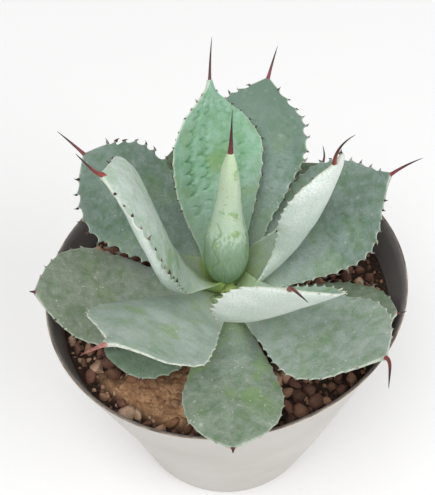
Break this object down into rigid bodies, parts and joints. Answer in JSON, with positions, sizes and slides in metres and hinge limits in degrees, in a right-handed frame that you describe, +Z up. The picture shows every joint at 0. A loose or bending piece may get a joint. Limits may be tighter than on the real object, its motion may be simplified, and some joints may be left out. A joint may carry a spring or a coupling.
{
  "type": "potted agave",
  "caption": "small rosette agave with spoon-shaped blue-green leaves, toothed margins and long end spines, growing in gritty mix in a thin round plastic pot",
  "frame": {"origin": "middle of the pot's flat underside, on the pot's axis", "axes": "+Z up along the pot's axis, -Y towards the front of the plant, +X to its right"},
  "size_m": [0.1585, 0.1765, 0.2143],
  "materials": {
    "pot_plastic": "satin",
    "mix_grit": "rough",
    "stem_bark": "matte",
    "leaf_skin": "matte",
    "bud_skin": "matte"
  },
  "bodies": {
    "root": {"pot": "pot_plastic", "potting_mix": "mix_grit", "stem": "stem_bark", "centre_bud": "bud_skin", "leaf_01": "leaf_skin", "leaf_02": "leaf_skin", "leaf_03": "leaf_skin", "leaf_04": "leaf_skin", "leaf_05": "leaf_skin", "leaf_06": "leaf_skin", "leaf_07": "leaf_skin", "leaf_08": "leaf_skin", "leaf_09": "leaf_skin", "leaf_10": "leaf_skin", "leaf_11": "leaf_skin", "leaf_12": "leaf_skin", "leaf_13": "leaf_skin", "leaf_14": "leaf_skin", "leaf_15": "leaf_skin"}
  },
  "joints": []
}
